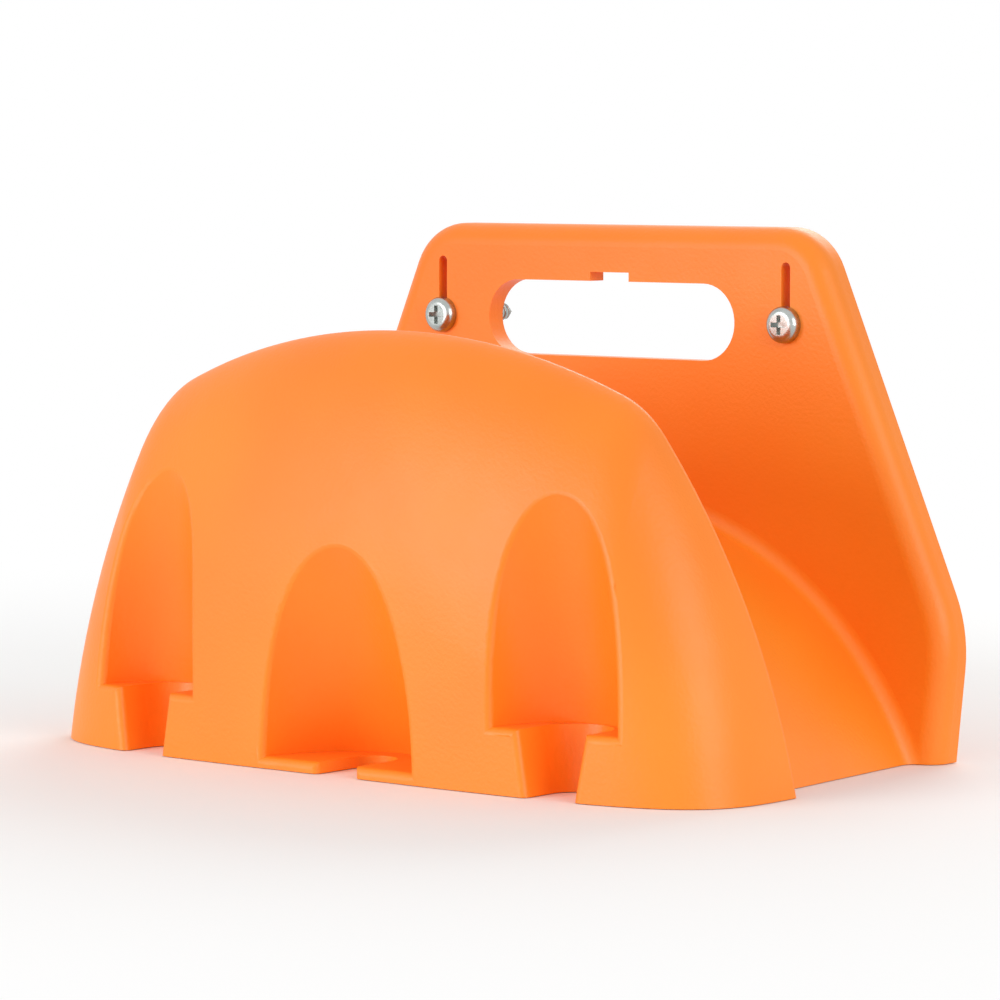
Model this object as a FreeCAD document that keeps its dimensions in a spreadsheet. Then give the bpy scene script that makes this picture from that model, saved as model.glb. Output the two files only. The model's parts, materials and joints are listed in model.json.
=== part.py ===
"""Wall hose hanger: one plastic moulding and its two mounting screws.

Millimetres. X runs to the right along the wall, Y into the wall and Z up. The origin lies on the
wall plane, midway between the two screws. A "rise" is a height above the foot plane, the level
edge at the bottom of the moulding, and a "depth" is a distance out from the wall plane.
"""
import FreeCAD, Part
import math
import os

import Sketcher

Vector = FreeCAD.Vector
X_AXIS = Vector(1, 0, 0)
Y_AXIS = Vector(0, 1, 0)
Z_AXIS = Vector(0, 0, 1)

doc = FreeCAD.newDocument("HoseHanger")

SIZES = [
    ("wall", 3.0, "thickness of the moulding"),
    ("screw_spacing", 120.0, "between the two screw axes"),
    ("screw_rise", 115.0, "screw axes"),
    ("plate_depth", 10.0, "face of the back plate"),
    ("plate_rise", 141.0, "top edge of the plate"),
    ("plate_top_half", 67.6, "half width of the plate at its top edge"),
    ("plate_waist_flare", 4.0, "half width of the plate where its sides turn down, over its foot"),
    ("plate_waist_rise", 35.0, "height of that turn"),
    ("plate_foot_margin", 8.5, "how far the plate stands out from the saddle at the foot plane"),
    ("plate_top_round", 17.5, "corner radius at the top of the plate"),
    ("plate_waist_round", 40.0, "corner radius at the waist of the plate"),
    ("plate_edge_round", 6.0, "rounding round the face of the plate"),
    ("slot_length", 86.0, "hand slot, end to end"),
    ("slot_height", 21.0, "hand slot, top to bottom"),
    ("slot_collar", 6.0, "length of the collar inside the hand slot"),
    ("notch_width", 13.5, "notch in the middle of the slot's upper edge"),
    ("notch_height", 2.5, "height of that notch"),
    ("hole_radius", 3.5, "round end of a keyhole"),
    ("slit_width", 2.9, "narrow end of a keyhole"),
    ("slit_reach", 16.7, "top of the slit above the screw axis"),
    ("hood_rise", 115.0, "crown of the hood at its rim"),
    ("hood_depth", 125.0, "middle of the hood's front"),
    ("hood_half_width", 115.5, "half width of the hood at the foot plane"),
    ("rim_foot", 80.0, "depth of the hood's rim at the foot plane"),
    ("rim_crown", 98.5, "depth of the hood's rim at the crown"),
    ("rim_crown_radius", 190.0, "arc over the top of the rim"),
    ("rim_shoulder_radius", 26.0, "arc of the rim's shoulders"),
    ("rim_side_tilt", 4.5, "tilt of the rim's sides at the foot plane, in degrees"),
    ("side_radius", 200.0, "arc of the hood's sides"),
    ("front_half_width", 20.0, "half width of the flat in the middle of the front"),
    ("front_rise", 45.0, "height of that flat"),
    ("front_crown_radius", 60.0, "arc over its top"),
    ("front_shoulder_radius", 10.0, "arc of its shoulders"),
    ("front_side_tilt", 8.0, "tilt of its sides at the foot plane, in degrees"),
    ("roll_side_tilt", 7.0, "further tilt of the sides half way from rim to front, in degrees"),
    ("roll_drop", 5.0, "further drop of the crown there"),
    ("rim_round", 2.0, "rounding along the rim"),
    ("flange_crown", 44.0, "how far the rim stands over the saddle, at the crown"),
    ("flange_foot", 8.5, "how far the rim stands out from the saddle, at the foot plane"),
    ("saddle_taper", 6.0, "how far the saddle tapers in from the rim to the wall plane"),
    ("saddle_overlap", 8.0, "how far the saddle runs on into the hood"),
    ("saddle_round", 4.0, "fillet where the saddle meets plate and hood"),
    ("dock_radius", 25.3, "middle pocket"),
    ("dock_tilt", 25.5, "tilt of the middle pocket, in degrees"),
    ("dock_slot_radius", 6.5, "open slot in the floor of the middle pocket"),
    ("dock_slot_land", 6.5, "floor between the end of that slot and the back of the pocket"),
    ("holster_spacing", 140.0, "between the two side pockets"),
    ("holster_sink", 3.3, "axis of a side pocket behind the hood's front, at its shelf"),
    ("holster_radius", 18.4, "side pocket"),
    ("holster_tilt", 12.0, "tilt of a side pocket, in degrees"),
    ("shelf_rise", 17.0, "shelf of a side pocket"),
    ("neck_top_radius", 9.9, "half width of the neck slot at the shelf"),
    ("neck_foot_radius", 7.0, "half width of the neck slot at the foot plane"),
    ("neck_land", 0.4, "shelf between the end of the neck slot and the back of the pocket"),
    ("pocket_round", 2.0, "rounding along the mouths of the pockets"),
    ("head_radius", 5.0, "screw head"),
    ("head_height", 3.2, "screw head"),
    ("head_round", 2.0, "rounding over the screw head"),
    ("shank_radius", 2.1, "screw shank"),
    ("screw_length", 31.0, "screw, under its head"),
    ("screw_point", 4.0, "tapered end of the screw"),
    ("recess_width", 1.3, "arm of the cross recess"),
    ("recess_length", 5.2, "cross recess, from arm end to arm end"),
    ("recess_depth", 1.8, "cross recess"),
]

sheet = doc.addObject("Spreadsheet::Sheet", "Sizes")
for row, (alias, size, meaning) in enumerate(SIZES, start=1):
    sheet.set(f"A{row}", alias)
    sheet.set(f"B{row}", str(size))
    sheet.set(f"C{row}", meaning)
    sheet.setAlias(f"B{row}", alias)
doc.recompute()

# How far the forms run on below the foot plane, where they are cut off level.
TRIM = "Sizes.wall"

# Saddle: a cone about a level axis below the foot plane, set by what the rim leaves of it.
SADDLE_RISE = "(Sizes.hood_rise - Sizes.flange_crown)"
SADDLE_HALF = "(Sizes.hood_half_width - Sizes.flange_foot)"
SADDLE_RADIUS = f"(({SADDLE_HALF} ^ 2 + {SADDLE_RISE} ^ 2) / (2 * {SADDLE_RISE}))"
SADDLE_DEPTH = f"(Sizes.rim_foot + (Sizes.rim_crown - Sizes.rim_foot) * {SADDLE_RISE} / Sizes.hood_rise)"
SADDLE_BACK_RADIUS = f"({SADDLE_RADIUS} - Sizes.saddle_taper)"

# Half widths of the plate, which stands out a little from the saddle.
SADDLE_BACK_HALF = f"sqrt({SADDLE_BACK_RADIUS} ^ 2 - ({SADDLE_RADIUS} - {SADDLE_RISE}) ^ 2)"
PLATE_FOOT_HALF = f"({SADDLE_BACK_HALF} + Sizes.plate_foot_margin)"
PLATE_WAIST_HALF = f"({PLATE_FOOT_HALF} + Sizes.plate_waist_flare)"

# Distance below which two shapes are taken to touch.
TOUCH = 0.01

# Sketch points: start and end of an edge, centre of an arc, and the sketch's own origin and axes.
START, END, CENTRE = range(1, 4)
LEVEL_AXIS, VERTICAL_AXIS = range(-1, -3, -1)
ORIGIN = (LEVEL_AXIS, START)


def value(expression):
    """Number that an expression over the sheet gives."""
    result = sheet.evalExpression(expression)
    return float(getattr(result, "Value", result))


def bind(feature, **expressions):
    """Bind properties of a feature to the sheet; a double underscore stands for a dot."""
    for name, expression in expressions.items():
        feature.setExpression(name.replace("__", "."), expression)
    return feature


def dimension(sketch, name, kind, *where, size):
    """Add a named dimension to a sketch and bind it to the sheet."""
    number = sketch.addConstraint(Sketcher.Constraint(kind, *where, value(size)))
    sketch.renameConstraint(number, name)
    sketch.setExpression(f"Constraints.{name}", size)


def upright_sketch(name, depth, tilt="0 deg"):
    """Sketch that faces the front, its origin on the foot plane, its top tilted forwards."""
    sketch = doc.addObject("Sketcher::SketchObject", name)
    sketch.Placement = FreeCAD.Placement(Vector(), FreeCAD.Rotation(X_AXIS, 90))
    return bind(
        sketch,
        Placement__Base__y=f"-({depth})",
        Placement__Base__z="-Sizes.screw_rise",
        Placement__Rotation__Angle=f"90 deg + {tilt}",
    )


def level_sketch(name, across, depth, rise):
    """Sketch that faces up, at a given height."""
    sketch = doc.addObject("Sketcher::SketchObject", name)
    return bind(
        sketch,
        Placement__Base__x=across,
        Placement__Base__y=f"-({depth})",
        Placement__Base__z=f"{rise} - Sizes.screw_rise",
    )


def flat(x, y):
    return Vector(x, y, 0)


def mirrored(point):
    return flat(-point.x, point.y)


def arc(centre, radius, first, last):
    """Arc about a centre from the first point to the last, counter-clockwise."""
    begin = math.atan2(first.y - centre.y, first.x - centre.x)
    finish = math.atan2(last.y - centre.y, last.x - centre.x)
    if finish <= begin:
        finish += 2 * math.pi
    return Part.ArcOfCircle(Part.Circle(centre, Z_AXIS, radius), begin, finish)


def fuse(name, *shapes):
    joined = doc.addObject("Part::MultiFuse", name)
    joined.Shapes = list(shapes)
    joined.Refine = True
    return joined


def cut(name, base, tool):
    result = doc.addObject("Part::Cut", name)
    result.Base = base
    result.Tool = tool
    return result


def common(name, base, tool):
    result = doc.addObject("Part::Common", name)
    result.Base = base
    result.Tool = tool
    return result


def mirror(name, source):
    """Copy on the other side of the hanger's middle plane."""
    copy = doc.addObject("Part::Mirroring", name)
    copy.Source = source
    copy.Normal = X_AXIS
    return copy


def loft(name, *sections):
    result = doc.addObject("Part::Loft", name)
    result.Sections = list(sections)
    result.Solid = True
    return result


def extrude(name, profile, length):
    """Extrude a profile along the way it faces."""
    result = doc.addObject("Part::Extrusion", name)
    result.Base = profile
    result.DirMode = "Normal"
    result.Solid = True
    return bind(result, LengthFwd=length)


def round_edges(name, base, choose, radius):
    """Fillet the edges of a shape that a test picks out."""
    doc.recompute()
    size = value(radius)
    fillet = doc.addObject("Part::Fillet", name)
    fillet.Base = base
    fillet.Edges = [
        (number, size, size)
        for number, edge in enumerate(base.Shape.Edges, start=1)
        if choose(edge)
    ]
    return fillet


def edge_on(*features):
    """Test for the edges above the foot plane that run along the surfaces of some features."""
    doc.recompute()
    skins = [Part.Compound(feature.Shape.Faces or feature.Shape.Edges) for feature in features]
    foot_plane = -value("Sizes.screw_rise")

    def choose(edge):
        middle = edge.valueAt((edge.FirstParameter + edge.LastParameter) / 2)
        if middle.z < foot_plane + TOUCH:
            return False
        return all(Part.Vertex(middle).distToShape(skin)[0] < TOUCH for skin in skins)

    return choose


def draw_plate_outline(sketch):
    """Six-sided outline of the back plate, the same on both sides."""
    foot = flat(value(PLATE_FOOT_HALF), -value(TRIM))
    waist = flat(value(PLATE_WAIST_HALF), value("Sizes.plate_waist_rise"))
    top = flat(value("Sizes.plate_top_half"), value("Sizes.plate_rise"))
    corners = [mirrored(foot), foot, waist, top, mirrored(top), mirrored(waist)]
    for number, corner in enumerate(corners):
        sketch.addGeometry(Part.LineSegment(corner, corners[(number + 1) % len(corners)]))
    for number in range(len(corners)):
        following = (number + 1) % len(corners)
        sketch.addConstraint(Sketcher.Constraint("Coincident", number, END, following, START))
    foot_line, waist_right, top_right, top_line, waist_left, foot_left = range(len(corners))
    sketch.addConstraint([
        Sketcher.Constraint("Symmetric", foot_line, START, foot_line, END, VERTICAL_AXIS),
        Sketcher.Constraint("Symmetric", top_line, START, top_line, END, VERTICAL_AXIS),
        Sketcher.Constraint("Symmetric", waist_right, END, waist_left, END, VERTICAL_AXIS),
    ])
    dimension(sketch, "foot", "DistanceX", *ORIGIN, foot_line, END, size=PLATE_FOOT_HALF)
    dimension(sketch, "trim", "DistanceY", foot_line, END, *ORIGIN, size=TRIM)
    dimension(sketch, "waist", "DistanceX", *ORIGIN, waist_right, END, size=PLATE_WAIST_HALF)
    dimension(sketch, "waist_rise", "DistanceY", *ORIGIN, waist_right, END,
              size="Sizes.plate_waist_rise")
    dimension(sketch, "top", "DistanceX", *ORIGIN, top_right, END, size="Sizes.plate_top_half")
    dimension(sketch, "rise", "DistanceY", *ORIGIN, top_right, END, size="Sizes.plate_rise")


def plate_block(name, outline, depth, inset):
    """Back plate as a block with rounded corners and a rounded face."""
    block = extrude(f"{name}_block", outline, depth)
    doc.recompute()
    middle = value("Sizes.plate_waist_rise") - value("Sizes.screw_rise")

    def runs_in_depth(edge):
        return edge.BoundBox.YLength > value(depth) / 2

    def at_top(edge):
        return runs_in_depth(edge) and edge.CenterOfMass.z > middle + value("Sizes.plate_top_round")

    def at_waist(edge):
        return runs_in_depth(edge) and abs(edge.CenterOfMass.z - middle) < value("Sizes.plate_top_round")

    def round_the_face(edge):
        box = edge.BoundBox
        on_face = abs(box.YMax + value(depth)) < TOUCH and box.YLength < TOUCH
        return on_face and box.ZMax > -value("Sizes.screw_rise")

    block = round_edges(f"{name}_waist", block, at_waist, f"Sizes.plate_waist_round - {inset}")
    block = round_edges(f"{name}_top", block, at_top, f"Sizes.plate_top_round - {inset}")
    return round_edges(name, block, round_the_face, f"Sizes.plate_edge_round - {inset}")


def circles_meet(first, first_radius, second, second_radius):
    """Upper point that two circles share."""
    apart = second - first
    along = (first_radius ** 2 - second_radius ** 2 + apart.dot(apart)) / (2 * apart.Length)
    aside = math.sqrt(first_radius ** 2 - along ** 2)
    unit = apart / apart.Length
    candidates = [first + unit * along + flat(-unit.y, unit.x) * side for side in (aside, -aside)]
    return max(candidates, key=lambda point: point.y)


def draw_hood_arch(sketch, half, rise, lean, shoulder, crown):
    """Side arcs, shoulder arcs and a crown arc over a level foot line, all tangent."""
    side = "Sizes.side_radius"
    centre_drop = f"{side} * sin({lean})"
    centre_offset = f"{half} - {side} * cos({lean})"
    foot_half = f"{centre_offset} + sqrt({side} ^ 2 - ({centre_drop} - {TRIM}) ^ 2)"
    foot = flat(value(foot_half), -value(TRIM))
    side_centre = flat(value(centre_offset), -value(centre_drop))
    crown_centre = flat(0, value(rise) - value(crown))
    side_reach = value(side) - value(shoulder)
    crown_reach = value(crown) - value(shoulder)
    shoulder_centre = circles_meet(side_centre, side_reach, crown_centre, crown_reach)
    side_end = side_centre + (shoulder_centre - side_centre) * (value(side) / side_reach)
    crown_end = crown_centre + (shoulder_centre - crown_centre) * (value(crown) / crown_reach)

    foot_line, right, right_arc, crown_arc, left_arc, left = range(6)
    sketch.addGeometry([
        Part.LineSegment(mirrored(foot), foot),
        arc(side_centre, value(side), foot, side_end),
        arc(shoulder_centre, value(shoulder), side_end, crown_end),
        arc(crown_centre, value(crown), crown_end, mirrored(crown_end)),
        arc(mirrored(shoulder_centre), value(shoulder), mirrored(crown_end), mirrored(side_end)),
        arc(mirrored(side_centre), value(side), mirrored(side_end), mirrored(foot)),
    ])
    sketch.addConstraint([
        Sketcher.Constraint("Coincident", foot_line, END, right, START),
        Sketcher.Constraint("Coincident", left, END, foot_line, START),
        Sketcher.Constraint("Tangent", right, END, right_arc, START),
        Sketcher.Constraint("Tangent", right_arc, END, crown_arc, START),
        Sketcher.Constraint("Tangent", crown_arc, END, left_arc, START),
        Sketcher.Constraint("Tangent", left_arc, END, left, START),
        Sketcher.Constraint("Symmetric", foot_line, START, foot_line, END, VERTICAL_AXIS),
        Sketcher.Constraint("Symmetric", right, CENTRE, left, CENTRE, VERTICAL_AXIS),
        Sketcher.Constraint("PointOnObject", crown_arc, CENTRE, VERTICAL_AXIS),
        Sketcher.Constraint("Equal", right_arc, left_arc),
    ])
    dimension(sketch, "foot", "DistanceX", *ORIGIN, foot_line, END, size=foot_half)
    dimension(sketch, "trim", "DistanceY", foot_line, END, *ORIGIN, size=TRIM)
    dimension(sketch, "side", "Radius", right, size=side)
    dimension(sketch, "side_drop", "DistanceY", right, CENTRE, *ORIGIN, size=centre_drop)
    dimension(sketch, "crown", "Radius", crown_arc, size=crown)
    dimension(sketch, "shoulder", "Radius", right_arc, size=shoulder)
    dimension(sketch, "rise", "DistanceY", crown_arc, CENTRE, *ORIGIN, size=f"({crown}) - ({rise})")


# The hood's arches, as turns from its rim to the flat in the middle of its front.
HOOD_TURNS = (0, 6, 16, 30, 46, 62, 76, 86, 90)


def between(rim, front, share):
    """Size that lies a given share of the way from the rim's to the front's."""
    return f"({rim} + ({front} - {rim}) * {share})"


def hood_form(name, inset):
    """Hood closed at its rim: arches that close in from the rim to the flat in its front.

    In plan the sides follow a superellipse of degree four, square at the foot, and in section the
    crown follows an ellipse.
    """
    sections = []
    for turn in HOOD_TURNS:
        forward = f"sqrt(sin({turn} deg))"
        side_in = f"(1 - sqrt(cos({turn} deg)))"
        crown_in = f"(1 - sqrt(1 - sin({turn} deg)))"
        half = between(f"(Sizes.hood_half_width - {inset})", "Sizes.front_half_width", side_in)
        level = between(f"(Sizes.hood_rise - {inset})", "Sizes.front_rise", crown_in)
        rise = f"({level} - Sizes.roll_drop * sin({2 * turn} deg))"
        front_depth = f"(Sizes.hood_depth - {inset})"
        foot_depth = between(f"(Sizes.rim_foot + {inset})", front_depth, forward)
        crown_depth = between(f"(Sizes.rim_crown + {inset})", front_depth, forward)
        side_tilt = between("Sizes.rim_side_tilt", "Sizes.front_side_tilt", crown_in)
        tilt = f"atan(({crown_depth} - {foot_depth}) / {rise})"
        sketch = upright_sketch(f"{name}_{turn}", foot_depth, tilt)
        draw_hood_arch(
            sketch,
            half=half,
            rise=f"{rise} / cos({tilt})",
            lean=f"({side_tilt} + Sizes.roll_side_tilt * sin({2 * turn} deg)) * 1 deg",
            shoulder=between(
                f"(Sizes.rim_shoulder_radius - {inset})", "Sizes.front_shoulder_radius", side_in,
            ),
            crown=between(f"(Sizes.rim_crown_radius - {inset})", "Sizes.front_crown_radius", crown_in),
        )
        sections.append(sketch)
    return loft(name, *sections)


def saddle_form(name, inset):
    """Saddle that flares from the wall plane to the hood and runs on into it."""
    cone = doc.addObject("Part::Cone", name)
    cone.Placement = FreeCAD.Placement(Vector(), FreeCAD.Rotation(X_AXIS, 90))
    back_radius = f"{SADDLE_BACK_RADIUS} - {inset}"
    return bind(
        cone,
        Radius1=back_radius,
        Radius2=f"{back_radius} + Sizes.saddle_taper * (1 + Sizes.saddle_overlap / {SADDLE_DEPTH})",
        Height=f"{SADDLE_DEPTH} + Sizes.saddle_overlap",
        Placement__Base__z=f"{SADDLE_RISE} - {SADDLE_RADIUS} - Sizes.screw_rise",
    )


def bore(name, radius, across, depth, rise, tilt):
    """Tilted cylinder whose axis leans forwards, through a given point of the hood.

    It is turned about its axis so that its seam lies in front of the hood.
    """
    below = f"(2 * ({radius}))"
    y = f"{below} * sin({tilt}) - ({depth})"
    z = f"{rise} - Sizes.screw_rise - {below} * cos({tilt})"
    shape = doc.addObject("Part::Cylinder", name)
    return bind(
        shape,
        Radius=radius,
        Height=f"{below} + 2 * Sizes.hood_rise",
        Placement=f"placement(vector({across}; {y}; {z}); rotationx({tilt}) * rotationz(-90 deg))",
    )


def above(name, rise):
    """Everything over a given height, as wide and deep as the hanger."""
    shape = doc.addObject("Part::Box", name)
    return bind(
        shape,
        Length="2 * Sizes.hood_half_width",
        Width="2 * Sizes.hood_depth",
        Height="2 * Sizes.plate_rise",
        Placement__Base__x="-Sizes.hood_half_width",
        Placement__Base__y="-2 * Sizes.hood_depth",
        Placement__Base__z=f"{rise} - Sizes.screw_rise",
    )


def draw_slot_end(sketch, radius, reach):
    """Straight slot that is round at the back and runs out through the front."""
    side = flat(value(radius), 0)
    front = flat(value(radius), -value(reach))
    end_arc, left, front_line, right = range(4)
    sketch.addGeometry([
        arc(flat(0, 0), value(radius), side, mirrored(side)),
        Part.LineSegment(mirrored(side), mirrored(front)),
        Part.LineSegment(mirrored(front), front),
        Part.LineSegment(front, side),
    ])
    sketch.addConstraint([
        Sketcher.Constraint("Coincident", end_arc, CENTRE, *ORIGIN),
        Sketcher.Constraint("Tangent", end_arc, END, left, START),
        Sketcher.Constraint("Coincident", left, END, front_line, START),
        Sketcher.Constraint("Coincident", front_line, END, right, START),
        Sketcher.Constraint("Tangent", right, END, end_arc, START),
        Sketcher.Constraint("Horizontal", front_line),
        Sketcher.Constraint("Vertical", right),
    ])
    dimension(sketch, "radius", "Radius", end_arc, size=radius)
    dimension(sketch, "reach", "DistanceY", front_line, END, *ORIGIN, size=reach)


# Depths of the holsters' axes at their shelves, and of the round ends of the slots.
HOLSTER_DEPTH = "(Sizes.hood_depth - Sizes.holster_sink)"
HOLSTER_BACK = f"({HOLSTER_DEPTH} - Sizes.holster_radius / cos(Sizes.holster_tilt * 1 deg))"
NECK_DEPTH = f"({HOLSTER_BACK} + Sizes.neck_land + Sizes.neck_top_radius)"
DOCK_BACK = "(Sizes.hood_depth - Sizes.dock_radius / cos(Sizes.dock_tilt * 1 deg))"
DOCK_SLOT_DEPTH = f"({DOCK_BACK} + Sizes.dock_slot_land + Sizes.dock_slot_radius)"


def neck(name, inset):
    """Neck slot of the right side pocket, narrower at the foot plane than at its shelf."""
    sections = []
    for level, rise, radius in (
        ("foot", "0", "Sizes.neck_foot_radius"),
        ("top", "Sizes.shelf_rise", "Sizes.neck_top_radius"),
    ):
        sketch = level_sketch(f"{name}_{level}", "Sizes.holster_spacing / 2", NECK_DEPTH, rise)
        draw_slot_end(sketch, f"{radius} + {inset}", f"Sizes.hood_depth - {NECK_DEPTH} + Sizes.wall")
        sections.append(sketch)
    return loft(name, *sections)


def holster(name, inset, shelf_rise):
    """Right side pocket above its shelf, with the neck slot below it."""
    barrel = bore(
        f"{name}_barrel",
        radius=f"Sizes.holster_radius + {inset}",
        across="Sizes.holster_spacing / 2",
        depth=HOLSTER_DEPTH,
        rise="Sizes.shelf_rise",
        tilt="Sizes.holster_tilt * 1 deg",
    )
    pocket = common(f"{name}_pocket", barrel, above(f"{name}_level", shelf_rise))
    return fuse(name, pocket, neck(f"{name}_neck", inset))


def dock(name, inset, floor_rise):
    """Middle pocket above its floor."""
    barrel = bore(
        f"{name}_barrel",
        radius=f"Sizes.dock_radius + {inset}",
        across="0",
        depth="Sizes.hood_depth",
        rise="Sizes.wall",
        tilt="Sizes.dock_tilt * 1 deg",
    )
    return common(name, barrel, above(f"{name}_level", floor_rise))


def draw_stadium(sketch, half, radius, rise):
    """Level slot with round ends, centred on the middle plane."""
    centre = flat(value(half) - value(radius), value(rise))
    top = centre + flat(0, value(radius))
    bottom = centre - flat(0, value(radius))
    right_arc, top_line, left_arc, bottom_line = range(4)
    sketch.addGeometry([
        arc(centre, value(radius), bottom, top),
        Part.LineSegment(top, mirrored(top)),
        arc(mirrored(centre), value(radius), mirrored(top), mirrored(bottom)),
        Part.LineSegment(mirrored(bottom), bottom),
    ])
    sketch.addConstraint([
        Sketcher.Constraint("Tangent", right_arc, END, top_line, START),
        Sketcher.Constraint("Tangent", top_line, END, left_arc, START),
        Sketcher.Constraint("Tangent", left_arc, END, bottom_line, START),
        Sketcher.Constraint("Tangent", bottom_line, END, right_arc, START),
        Sketcher.Constraint("Symmetric", right_arc, CENTRE, left_arc, CENTRE, VERTICAL_AXIS),
    ])
    dimension(sketch, "radius", "Radius", right_arc, size=radius)
    dimension(sketch, "half", "DistanceX", *ORIGIN, right_arc, CENTRE, size=f"{half} - ({radius})")
    dimension(sketch, "rise", "DistanceY", *ORIGIN, right_arc, CENTRE, size=rise)


def hand_opening(name, inset, length):
    """Hand slot and the notch over it, from the face of the plate inwards."""
    outline = upright_sketch(f"{name}_outline", f"Sizes.plate_depth - {length}")
    draw_stadium(
        outline,
        half=f"Sizes.slot_length / 2 + {inset}",
        radius=f"Sizes.slot_height / 2 + {inset}",
        rise="Sizes.screw_rise",
    )
    notch = doc.addObject("Part::Box", f"{name}_notch")
    bind(
        notch,
        Length=f"Sizes.notch_width + 2 * {inset}",
        Width=length,
        Height=f"Sizes.slot_height / 2 + Sizes.notch_height + {inset}",
        Placement__Base__x=f"-(Sizes.notch_width / 2 + {inset})",
        Placement__Base__y="-Sizes.plate_depth",
    )
    return fuse(name, extrude(f"{name}_stadium", outline, length), notch)


KEYHOLE_SIDES = (("left_keyhole", -1), ("right_keyhole", 1))


def keyhole(name, side, inset):
    """Round hole with a slit above it, through the whole depth of the plate."""
    across = f"{side} * Sizes.screw_spacing / 2"
    half_slit = f"(Sizes.slit_width / 2 + {inset})"
    hole = doc.addObject("Part::Cylinder", f"{name}_hole")
    slit_end = doc.addObject("Part::Cylinder", f"{name}_slit_end")
    for cylinder, radius, height in (
        (hole, f"Sizes.hole_radius + {inset}", "0"),
        (slit_end, half_slit, "Sizes.slit_reach - Sizes.slit_width / 2"),
    ):
        cylinder.Placement = FreeCAD.Placement(Vector(), FreeCAD.Rotation(X_AXIS, 90))
        bind(
            cylinder,
            Radius=radius,
            Height="Sizes.plate_depth",
            Placement__Base__x=across,
            Placement__Base__z=height,
        )
    slit = doc.addObject("Part::Box", f"{name}_slit")
    bind(
        slit,
        Length=f"2 * {half_slit}",
        Width="Sizes.plate_depth",
        Height="Sizes.slit_reach - Sizes.slit_width / 2",
        Placement__Base__x=f"{across} - {half_slit}",
        Placement__Base__y="-Sizes.plate_depth",
    )
    return fuse(name, hole, slit, slit_end)


def draw_screw(sketch):
    """Half of a pan-head screw beside its axis, the underside of its head at the sketch's origin."""
    head = value("Sizes.head_radius")
    height = value("Sizes.head_height")
    rounding = value("Sizes.head_round")
    shank = value("Sizes.shank_radius")
    length = value("Sizes.screw_length")
    taper = length - value("Sizes.screw_point")
    crown, edge, rim, seat, side, point, axis = range(7)
    sketch.addGeometry([
        Part.LineSegment(flat(0, -height), flat(head - rounding, -height)),
        arc(flat(head - rounding, rounding - height), rounding,
            flat(head - rounding, -height), flat(head, rounding - height)),
        Part.LineSegment(flat(head, rounding - height), flat(head, 0)),
        Part.LineSegment(flat(head, 0), flat(shank, 0)),
        Part.LineSegment(flat(shank, 0), flat(shank, taper)),
        Part.LineSegment(flat(shank, taper), flat(0, length)),
        Part.LineSegment(flat(0, length), flat(0, -height)),
    ])
    sketch.addConstraint([
        Sketcher.Constraint("Tangent", crown, END, edge, START),
        Sketcher.Constraint("Tangent", edge, END, rim, START),
        Sketcher.Constraint("Coincident", rim, END, seat, START),
        Sketcher.Constraint("Coincident", seat, END, side, START),
        Sketcher.Constraint("Coincident", side, END, point, START),
        Sketcher.Constraint("Coincident", point, END, axis, START),
        Sketcher.Constraint("Coincident", axis, END, crown, START),
        Sketcher.Constraint("PointOnObject", axis, START, VERTICAL_AXIS),
        Sketcher.Constraint("Vertical", axis),
        Sketcher.Constraint("Horizontal", crown),
        Sketcher.Constraint("Vertical", rim),
        Sketcher.Constraint("PointOnObject", seat, START, LEVEL_AXIS),
        Sketcher.Constraint("Horizontal", seat),
        Sketcher.Constraint("Vertical", side),
    ])
    dimension(sketch, "head", "DistanceX", *ORIGIN, rim, END, size="Sizes.head_radius")
    dimension(sketch, "height", "DistanceY", crown, START, *ORIGIN, size="Sizes.head_height")
    dimension(sketch, "rounding", "Radius", edge, size="Sizes.head_round")
    dimension(sketch, "shank", "DistanceX", *ORIGIN, seat, END, size="Sizes.shank_radius")
    dimension(sketch, "taper", "DistanceY", side, END, point, END, size="Sizes.screw_point")
    dimension(sketch, "length", "DistanceY", *ORIGIN, point, END, size="Sizes.screw_length")


def recess_arm(name, across, upright):
    """One arm of the cross recess in the right screw's head."""
    arm = doc.addObject("Part::Box", name)
    return bind(
        arm,
        Length=across,
        Width="Sizes.recess_depth",
        Height=upright,
        Placement__Base__x=f"(Sizes.screw_spacing - {across}) / 2",
        Placement__Base__y="-(Sizes.plate_depth + Sizes.head_height)",
        Placement__Base__z=f"-{upright} / 2",
    )


# Outer form of the moulding, solid.
plate_outline = upright_sketch("plate_outline", "0")
draw_plate_outline(plate_outline)
plate = plate_block("plate", plate_outline, "Sizes.plate_depth", "0")
hood = hood_form("hood", "0")
saddle = saddle_form("saddle", "0")
solid_form = common("solid_form", fuse("joined_form", plate, saddle, hood), above("over_foot", "0"))

hood_rim = doc.getObject("hood_0")
solid_form = round_edges("plate_joint", solid_form, edge_on(saddle, plate), "Sizes.saddle_round")
solid_form = round_edges("hood_joint", solid_form, edge_on(saddle, hood), "Sizes.saddle_round")
solid_form = round_edges("rim_edge", solid_form, edge_on(hood_rim), "Sizes.rim_round")

# Pockets in the front of the hood.
right_holster = holster("right_holster", "0", "Sizes.shelf_rise")
left_holster = mirror("left_holster", right_holster)
middle_dock = dock("middle_dock", "0", "Sizes.wall")
dock_slot_end = level_sketch("dock_slot_end", "0", DOCK_SLOT_DEPTH, "0")
draw_slot_end(dock_slot_end, "Sizes.dock_slot_radius", f"Sizes.hood_depth - {DOCK_SLOT_DEPTH} + Sizes.wall")
dock_slot = extrude("dock_slot", dock_slot_end, "2 * Sizes.wall")
dock_opening = fuse("dock_opening", middle_dock, dock_slot)
pockets = fuse("pockets", right_holster, left_holster, dock_opening)
pocketed = cut("pocketed", solid_form, pockets)
pocketed = round_edges("pocket_edges", pocketed, edge_on(pockets, hood), "Sizes.pocket_round")

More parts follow.
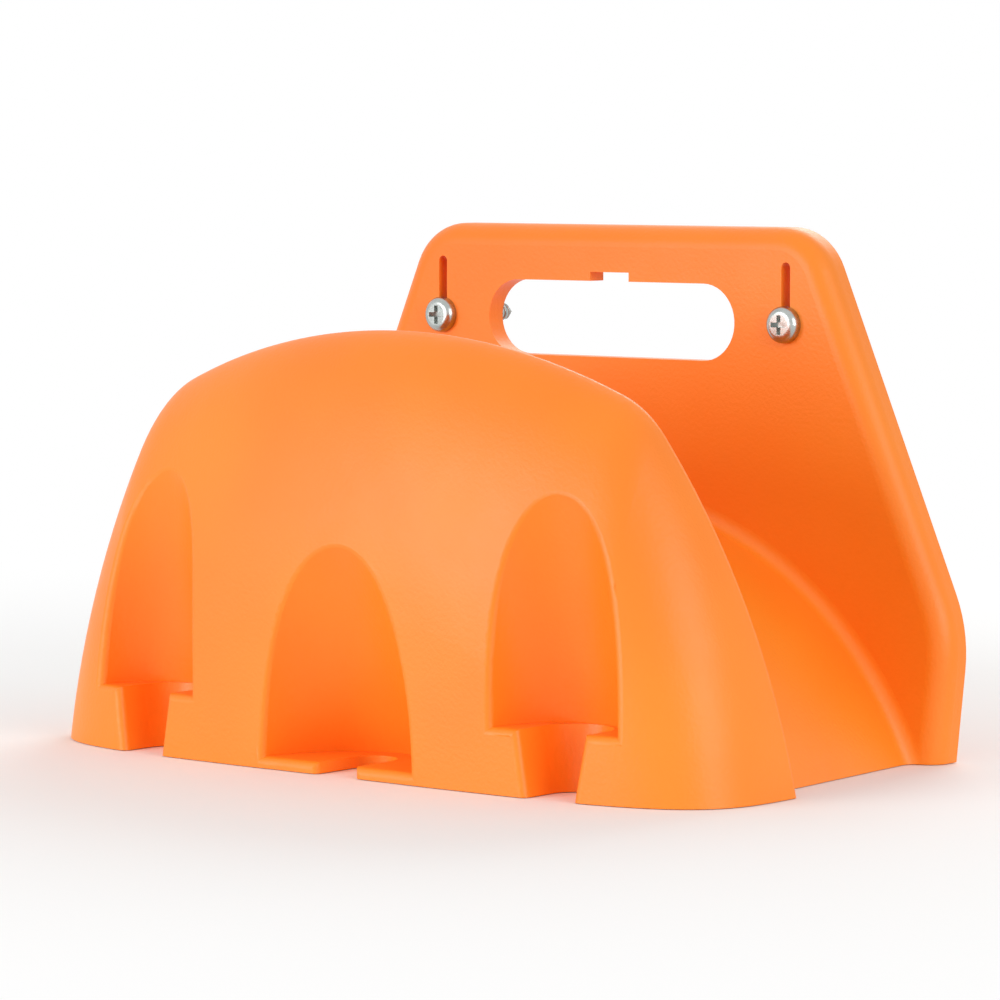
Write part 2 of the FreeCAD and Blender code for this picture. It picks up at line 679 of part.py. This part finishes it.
# Hollow behind the hood and under the saddle, clear of the pockets' own walls.
shelf_below = "Sizes.shelf_rise - Sizes.wall"
right_wall = holster("right_wall", "Sizes.wall", shelf_below)
pocket_walls = fuse(
    "pocket_walls",
    right_wall,
    mirror("left_wall", right_wall),
    dock("dock_wall", "Sizes.wall", "0"),
)
hollow = fuse("hollow", hood_form("hood_void", "Sizes.wall"), saddle_form("saddle_void", "Sizes.wall"))
hollow = cut("clear_hollow", hollow, pocket_walls)

# Hand slot with its notch, and the two keyholes.
hand_slot = hand_opening("hand_slot", "0", "Sizes.plate_depth")
keyholes = [keyhole(name, side, "0") for name, side in KEYHOLE_SIDES]

# Tray behind the back plate, clear of the saddle, the slot's collar and the keyhole bosses.
plate_inset = doc.addObject("Part::Offset2D", "plate_inset")
plate_inset.Source = plate_outline
plate_inset.Join = "Intersection"
bind(plate_inset, Value="-Sizes.wall")
tray = plate_block("tray", plate_inset, "Sizes.plate_depth - Sizes.wall", "Sizes.wall")
collar = hand_opening("collar", "Sizes.wall", "Sizes.slot_collar")
bosses = [keyhole(f"{name}_boss", side, "Sizes.wall") for name, side in KEYHOLE_SIDES]
tray = cut("clear_tray", tray, fuse("tray_solids", saddle, collar, *bosses))

openings = fuse("openings", hollow, tray, hand_slot, *keyholes)
hanger_body = cut("hanger_body", pocketed, openings)
hanger_body.Label = "hanger_body"

# Screws that seat on the face of the plate, through the round ends of the keyholes.
screw_profile = doc.addObject("Sketcher::SketchObject", "screw_profile")
bind(
    screw_profile,
    Placement__Base__x="Sizes.screw_spacing / 2",
    Placement__Base__y="-Sizes.plate_depth",
)
draw_screw(screw_profile)
turned_screw = doc.addObject("Part::Revolution", "turned_screw")
turned_screw.Source = screw_profile
turned_screw.Axis = Y_AXIS
turned_screw.Solid = True
bind(turned_screw, Base__x="Sizes.screw_spacing / 2")
recess = fuse(
    "recess",
    recess_arm("level_arm", "Sizes.recess_length", "Sizes.recess_width"),
    recess_arm("upright_arm", "Sizes.recess_width", "Sizes.recess_length"),
)
right_screw = cut("right_screw", turned_screw, recess)
mounting_screws = doc.addObject("Part::Compound", "mounting_screws")
mounting_screws.Links = [right_screw, mirror("left_screw", right_screw)]
mounting_screws.Label = "mounting_screws"

doc.recompute()
for item in doc.Objects:
    if "Invalid" in item.State or "Error" in item.State:
        raise RuntimeError(f"{item.Name} did not build: {item.State}")
sub_parts = [hanger_body, mounting_screws]
for sub_part in sub_parts:
    if sub_part.Shape.isNull() or not sub_part.Shape.isValid():
        raise RuntimeError(f"{sub_part.Label} has no sound shape")
os.makedirs("parts", exist_ok=True)
for sub_part in sub_parts:
    sub_part.Shape.exportStep(f"parts/{sub_part.Label}.step")
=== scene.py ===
"""Looks of the wall hose hanger: orange moulded plastic, and bright zinc on its two threaded screws.

Metres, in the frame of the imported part: X to the right along the wall, Y into the wall, Z up.
"""
import json
import math

import bmesh
import bpy
from mathutils import Matrix, Vector


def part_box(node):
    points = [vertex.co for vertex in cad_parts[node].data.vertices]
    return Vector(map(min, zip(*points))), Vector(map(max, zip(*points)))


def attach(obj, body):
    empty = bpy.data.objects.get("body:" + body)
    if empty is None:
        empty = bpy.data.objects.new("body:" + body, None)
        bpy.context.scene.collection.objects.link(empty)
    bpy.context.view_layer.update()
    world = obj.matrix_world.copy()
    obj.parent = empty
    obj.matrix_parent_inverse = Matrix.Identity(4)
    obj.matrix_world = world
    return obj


MM = 0.001

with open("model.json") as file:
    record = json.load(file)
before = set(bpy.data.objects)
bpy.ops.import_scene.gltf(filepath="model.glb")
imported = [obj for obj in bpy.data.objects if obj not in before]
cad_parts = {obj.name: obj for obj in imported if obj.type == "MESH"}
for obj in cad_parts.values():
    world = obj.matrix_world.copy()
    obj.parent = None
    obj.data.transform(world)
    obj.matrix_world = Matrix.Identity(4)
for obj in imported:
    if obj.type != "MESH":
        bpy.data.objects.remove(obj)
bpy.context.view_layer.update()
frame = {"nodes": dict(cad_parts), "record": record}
body_low, body_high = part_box("hanger_body")
screw_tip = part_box("mounting_screws")[1].y
mounts = {mount["name"]: mount for mount in frame["record"]["mounts"]}


def linear(hex_colour):
    """Linear RGBA of an sRGB hex colour such as FF7A1E."""
    channels = [int(hex_colour[start:start + 2], 16) / 255 for start in (0, 2, 4)]
    return [c / 12.92 if c <= 0.04045 else ((c + 0.055) / 1.055) ** 2.4 for c in channels] + [1.0]


def add_node(tree, kind, links=(), **settings):
    """Add a node, set its properties and input values, and link other sockets to its inputs."""
    node = tree.nodes.new(kind)
    for name, value in settings.items():
        if hasattr(node, name):
            setattr(node, name, value)
        else:
            node.inputs[name.replace("_", " ")].default_value = value
    for socket, target in links:
        tree.links.new(socket, node.inputs[target])
    return node


def new_material(name):
    """Empty node material with its output node."""
    material = bpy.data.materials.new(name)
    material.use_nodes = True
    material.node_tree.nodes.clear()
    return material, material.node_tree, add_node(material.node_tree, "ShaderNodeOutputMaterial")


def cycles_per_metre(size_mm):
    """Noise scale whose features are about a given size across."""
    return 1 / (size_mm * MM)


# Most values of a noise lie between these two.
NOISE_SPREAD = (0.3, 0.7)

# The plastic's colour drifts a little over the moulding, as it does in pigmented melt, and its gloss
# varies in patches. The real mould grain is finer than 0.3 mm; it is drawn coarser so that it shows.
MELT_DRIFT_MM = 70
MELT_COLOURS = [(0.35, "FF8418"), (0.65, "FF8D20")]
GLOSS_PATCH_MM = 9
SATIN_ROUGHNESS = (0.41, 0.45)
GRAIN_MM = 1.0
GRAIN_DEPTH_MM = 0.25
GRAIN_STRENGTH = 0.3
POLYPROPYLENE_IOR = 1.49


def moulded_polypropylene():
    """Polypropylene off a fine-sparked mould: satin, a little soft in its colour, faintly grained."""
    material, tree, output = new_material("moulded_polypropylene")
    place = add_node(tree, "ShaderNodeTexCoord").outputs["Object"]
    drift = add_node(
        tree, "ShaderNodeTexNoise", [(place, "Vector")], Scale=cycles_per_metre(MELT_DRIFT_MM), Detail=2.0,
    )
    colour = add_node(tree, "ShaderNodeValToRGB", [(drift.outputs["Fac"], "Fac")])
    for stop, (position, hex_colour) in zip(colour.color_ramp.elements, MELT_COLOURS):
        stop.position = position
        stop.color = linear(hex_colour)
    patches = add_node(
        tree, "ShaderNodeTexNoise", [(place, "Vector")], Scale=cycles_per_metre(GLOSS_PATCH_MM), Detail=3.0,
    )
    gloss = add_node(
        tree, "ShaderNodeMapRange", [(patches.outputs["Fac"], "Value")],
        From_Min=NOISE_SPREAD[0], From_Max=NOISE_SPREAD[1],
        To_Min=SATIN_ROUGHNESS[0], To_Max=SATIN_ROUGHNESS[1],
    )
    grain = add_node(
        tree, "ShaderNodeTexNoise", [(place, "Vector")], Scale=cycles_per_metre(GRAIN_MM), Detail=2.0,
    )
    bump = add_node(
        tree, "ShaderNodeBump", [(grain.outputs["Fac"], "Height")], Strength=GRAIN_STRENGTH,
        Distance=GRAIN_DEPTH_MM * MM,
    )
    shader = add_node(
        tree, "ShaderNodeBsdfPrincipled",
        [
            (colour.outputs["Color"], "Base Color"),
            (gloss.outputs["Result"], "Roughness"),
            (bump.outputs["Normal"], "Normal"),
        ],
        IOR=POLYPROPYLENE_IOR,
    )
    tree.links.new(shader.outputs["BSDF"], output.inputs["Surface"])
    return material


# The zinc bath leaves clouds that differ a little in tone and in gloss.
CLOUD_MM = 2.5
CLOUD_COLOURS = [(0.0, "979C99"), (1.0, "C6CAC7")]
CLOUD_ROUGHNESS = (0.16, 0.34)


def zinc_plated_steel():
    """Bright zinc on steel: a clear mirror-like metal, faintly cloudy from its bath."""
    material, tree, output = new_material("zinc_plated_steel")
    place = add_node(tree, "ShaderNodeTexCoord").outputs["Object"]
    cloud = add_node(
        tree, "ShaderNodeTexNoise", [(place, "Vector")], Scale=cycles_per_metre(CLOUD_MM), Detail=3.0,
    )
    colour = add_node(tree, "ShaderNodeValToRGB", [(cloud.outputs["Fac"], "Fac")])
    for stop, (position, hex_colour) in zip(colour.color_ramp.elements, CLOUD_COLOURS):
        stop.position = position
        stop.color = linear(hex_colour)
    haze = add_node(
        tree, "ShaderNodeMapRange", [(cloud.outputs["Fac"], "Value")],
        To_Min=CLOUD_ROUGHNESS[0], To_Max=CLOUD_ROUGHNESS[1],
    )
    shader = add_node(
        tree, "ShaderNodeBsdfPrincipled",
        [(colour.outputs["Color"], "Base Color"), (haze.outputs["Result"], "Roughness")],
        Metallic=1.0,
    )
    tree.links.new(shader.outputs["BSDF"], output.inputs["Surface"])
    return material


def dress(piece, material):
    """Give a piece one material in place of those it has."""
    piece.data.materials.clear()
    piece.data.materials.append(material)


def add_piece(name, shape_mesh, material):
    """New object at the origin, from a function that shapes its bmesh."""
    shape = bmesh.new()
    shape_mesh(shape)
    mesh = bpy.data.meshes.new(name)
    shape.to_mesh(mesh)
    shape.free()
    mesh.shade_smooth()
    piece = bpy.data.objects.new(name, mesh)
    bpy.context.scene.collection.objects.link(piece)
    dress(piece, material)
    return piece


# Wood-screw thread on the bare shanks behind the plate.
SCREW_SPACING = mounts["screw_studs"]["dims"]["spacing_x_mm"] * MM
SHANK_RADIUS = mounts["screw_studs"]["dims"]["stud_r_mm"] * MM
SCREW_POINT = 4 * MM
THREAD_HEIGHT = 0.45 * MM
THREAD_PITCH = 1.7 * MM
THREAD_FOOT = 0.85 * MM
THREAD_SINK = 0.15 * MM
THREAD_START = -1.5 * MM
THREAD_END = screw_tip - 1 * MM
THREAD_STEPS = 28


def thread_on_shanks(shape):
    """Ridge wound up both shanks: a triangle swept along a helix, drawn in over the point."""
    turns = (THREAD_END - THREAD_START) / THREAD_PITCH
    for across in (-SCREW_SPACING / 2, SCREW_SPACING / 2):
        foot = across + SHANK_RADIUS - THREAD_SINK
        crest = across + SHANK_RADIUS + THREAD_HEIGHT
        profile = [
            shape.verts.new((foot, THREAD_START - THREAD_FOOT / 2, 0)),
            shape.verts.new((crest, THREAD_START, 0)),
            shape.verts.new((foot, THREAD_START + THREAD_FOOT / 2, 0)),
        ]
        face = shape.faces.new(profile)
        bmesh.ops.spin(
            shape, geom=[face, *face.edges, *profile], cent=(across, 0, 0), axis=(0, 1, 0),
            dvec=(0, THREAD_PITCH / THREAD_STEPS, 0), angle=turns * 2 * math.pi,
            steps=round(turns * THREAD_STEPS),
        )
    taper_start = screw_tip - SCREW_POINT
    for vert in shape.verts:
        past = vert.co.y - taper_start
        if past > 0:
            across = math.copysign(SCREW_SPACING / 2, vert.co.x)
            shrink = 1 - past / SCREW_POINT
            vert.co.x = across + (vert.co.x - across) * shrink
            vert.co.z *= shrink
    bmesh.ops.recalc_face_normals(shape, faces=shape.faces)


# Witness marks of the mould on the hidden side of the plate: rings round the ejector pins, and the
# little crater of the broken-off gate. The real rings are about half as high and wide; they are drawn
# coarser so that they show.
PLATE_BACK = -7 * MM
MARK_SINK = 0.1 * MM
MARK_STEPS = 40
PIN_RING = {"radius": 3.5 * MM, "width": 0.5 * MM, "height": 0.25 * MM}
PIN_PLACES_MM = [(30, 18.5), (36, -28), (70, -46), (91, -77)]
GATE_CRATER = {"radius": 1.1 * MM, "width": 1.6 * MM, "height": 0.7 * MM}
GATE_PLACE_MM = (0, -34)


def turn_ridge(shape, place_mm, radius, width, height):
    """Ring with a three-cornered section, turned about an axis that stands on the plate's back."""
    across, rise = (coordinate * MM for coordinate in place_mm)
    foot = PLATE_BACK - MARK_SINK
    section = [
        shape.verts.new((across + radius - width / 2, foot, rise)),
        shape.verts.new((across + radius, PLATE_BACK + height, rise)),
        shape.verts.new((across + radius + width / 2, foot, rise)),
    ]
    edges = [shape.edges.new((section[number - 1], vert)) for number, vert in enumerate(section)]
    bmesh.ops.spin(
        shape, geom=[*section, *edges], cent=(across, 0, rise), axis=(0, 1, 0), angle=2 * math.pi,
        steps=MARK_STEPS, use_merge=True,
    )


def mould_marks(shape):
    """Pin rings on both halves of the plate's back, and the gate mark in its middle."""
    for across, rise in PIN_PLACES_MM:
        for side in (-1, 1):
            turn_ridge(shape, (side * across, rise), **PIN_RING)
    turn_ridge(shape, GATE_PLACE_MM, **GATE_CRATER)
    bmesh.ops.recalc_face_normals(shape, faces=shape.faces)


plastic = moulded_polypropylene()
zinc = zinc_plated_steel()
dress(frame["nodes"]["hanger_body"], plastic)
dress(frame["nodes"]["mounting_screws"], zinc)
threads = add_piece("screw_threads", thread_on_shanks, zinc)
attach(threads, "root")
marks = add_piece("mould_marks", mould_marks, plastic)
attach(marks, "root")

# Pale floor under the foot of the moulding: paint out to FLOOR_CLEAR from the middle, and lost in the
# white room from FLOOR_LOST on.
FLOOR_SIZE = 8.0
FLOOR_GAP = 0.2 * MM
FLOOR_CLEAR = 0.16
FLOOR_LOST = 0.55


def seen_rays(tree):
    """Socket that is 1 for what the camera sees, straight or in a mirror or glass, and otherwise 0."""
    ray = add_node(tree, "ShaderNodeLightPath")
    mirrored = add_node(
        tree, "ShaderNodeMath",
        [(ray.outputs["Is Camera Ray"], 0), (ray.outputs["Is Glossy Ray"], 1)], operation="MAXIMUM",
    )
    seen = add_node(
        tree, "ShaderNodeMath",
        [(mirrored.outputs["Value"], 0), (ray.outputs["Is Transmission Ray"], 1)], operation="MAXIMUM",
    )
    return seen.outputs["Value"]


def floor_paint():
    """Matt white paint that takes the shadow; further out the floor is lost in the white room."""
    material, tree, output = new_material("floor_paint")
    place = add_node(tree, "ShaderNodeTexCoord").outputs["Object"]
    flat_place = add_node(tree, "ShaderNodeVectorMath", [(place, 0)], operation="MULTIPLY")
    flat_place.inputs[1].default_value = (1, 1, 0)
    reach = add_node(
        tree, "ShaderNodeVectorMath", [(flat_place.outputs["Vector"], 0)], operation="LENGTH",
    )
    fade = add_node(
        tree, "ShaderNodeMapRange", [(reach.outputs["Value"], "Value")],
        interpolation_type="SMOOTHSTEP", From_Min=FLOOR_CLEAR, From_Max=FLOOR_LOST,
    )
    paint = add_node(
        tree, "ShaderNodeBsdfPrincipled", Base_Color=linear("F4F4F3"), Roughness=0.9, IOR=1.3,
    )
    white = add_node(tree, "ShaderNodeEmission", [(seen_rays(tree), "Strength")])
    mix = add_node(
        tree, "ShaderNodeMixShader",
        [(fade.outputs["Result"], 0), (paint.outputs["BSDF"], 1), (white.outputs["Emission"], 2)],
    )
    tree.links.new(mix.outputs["Shader"], output.inputs["Surface"])
    return material


def floor_sheet(shape):
    """Flat square just under the foot of the moulding."""
    bmesh.ops.create_grid(
        shape, x_segments=1, y_segments=1, size=FLOOR_SIZE / 2,
        matrix=Matrix.Translation((0, 0, body_low.z - FLOOR_GAP)),
    )


add_piece("floor", floor_sheet, floor_paint())

# White surroundings: full white where the camera or a mirror looks, gentler where it lights the part.
WORLD_LIGHT = 0.64
world = bpy.data.worlds.new("white_room")
bpy.context.scene.world = world
world.use_nodes = True
sky = world.node_tree
sky.nodes.clear()
strength = add_node(
    sky, "ShaderNodeMapRange", [(seen_rays(sky), "Value")], To_Min=WORLD_LIGHT, To_Max=1.0,
)
background = add_node(
    sky, "ShaderNodeBackground", [(strength.outputs["Result"], "Strength")], Color=(1, 1, 1, 1),
)
add_node(sky, "ShaderNodeOutputWorld", [(background.outputs["Background"], "Surface")])

middle = (body_low + body_high) / 2


def add_softbox(name, place, size, power):
    """Square area light that looks at the middle of the hanger, from which its place is counted."""
    light = bpy.data.lights.new(name, "AREA")
    light.shape = "SQUARE"
    light.size = size
    light.energy = power
    lamp = bpy.data.objects.new(name, light)
    lamp.location = middle + Vector(place)
    lamp.rotation_euler = (-Vector(place)).to_track_quat("-Z", "Y").to_euler()
    lamp.visible_camera = False
    bpy.context.scene.collection.objects.link(lamp)


add_softbox("key_softbox", place=(-0.32, -0.85, 0.14), size=0.55, power=4.4)
add_softbox("side_softbox", place=(1.3, -0.3, 0.4), size=0.8, power=7.0)
add_softbox("back_softbox", place=(-0.3, 1.1, 0.7), size=0.8, power=6.5)

# Camera at the photograph's angle and distance, with a lens that fills the frame with the hanger.
EYE = Vector((776, -1003, 48)) * MM
AIM = Vector((2, -60, -47)) * MM
LENS_MM = 164.0
camera_data = bpy.data.cameras.new("camera")
camera_data.lens = LENS_MM
camera = bpy.data.objects.new("camera", camera_data)
camera.location = EYE
camera.rotation_euler = (AIM - EYE).to_track_quat("-Z", "Y").to_euler()
bpy.context.scene.collection.objects.link(camera)
bpy.context.scene.camera = camera

bpy.context.scene.view_settings.view_transform = "Standard"
